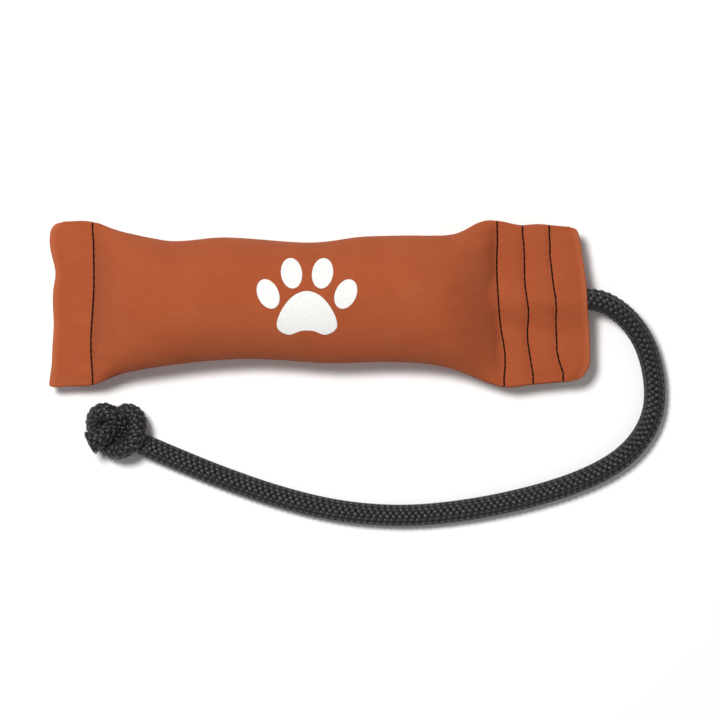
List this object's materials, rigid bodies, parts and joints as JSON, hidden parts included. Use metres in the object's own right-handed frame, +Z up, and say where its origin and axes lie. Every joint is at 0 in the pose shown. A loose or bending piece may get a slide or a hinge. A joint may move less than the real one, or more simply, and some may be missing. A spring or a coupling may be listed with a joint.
{
  "type": "training bumper",
  "caption": "Stuffed canvas tube, flattened and stitched at both ends, with a braided throw rope sewn into one end and knotted for grip.",
  "frame": {"origin": "on the ground under the middle of the bumper's own box, without the throw rope", "axes": "+X along the bumper towards the throw rope, +Y across it in plan, +Z up from the ground"},
  "size_m": [0.29, 0.1438, 0.0397],
  "materials": {
    "canvas": "plain-weave cotton duck canvas, rust brown, washed and matt",
    "thread": "heavy dark brown bonded polyester sewing thread",
    "ink": "thin white screen print soaked into the weave",
    "fibre": "loose off-white fibre stuffing",
    "foam": "pale grey closed-cell foam, cut from sheet",
    "rope": "twelve-strand diamond braid, charcoal polypropylene",
    "rope_yarn": "straight-laid filament yarn inside the braid",
    "melted_end": "melted polypropylene, hardened with a dull shine"
  },
  "bodies": {
    "bumper": {"upper_panel": "canvas", "lower_panel": "canvas", "closed_end_needle_thread": "thread", "closed_end_bobbin_thread": "thread", "mouth_inner_needle_thread": "thread", "mouth_inner_bobbin_thread": "thread", "mouth_middle_needle_thread": "thread", "mouth_middle_bobbin_thread": "thread", "mouth_outer_needle_thread": "thread", "mouth_outer_bobbin_thread": "thread", "far_side_seam_thread": "thread", "near_side_seam_thread": "thread", "paw_print": "ink", "fibre_wadding": "fibre", "foam_core": "foam", "rope_root": "rope", "stopper_knot": "rope"},
    "throw_rope": {"rope_sheath": "rope", "rope_core": "rope_yarn", "grip_knot": "rope", "rope_tail": "rope", "rope_tip_seal": "melted_end"}
  },
  "joints": [
    {"name": "rope_swing", "type": "hinge", "parent": "bumper", "child": "throw_rope", "pos_m": [0.131, 0.0021, 0.0138], "axis": [0, 0, 1], "range_deg": [-2, 90]}
  ]
}
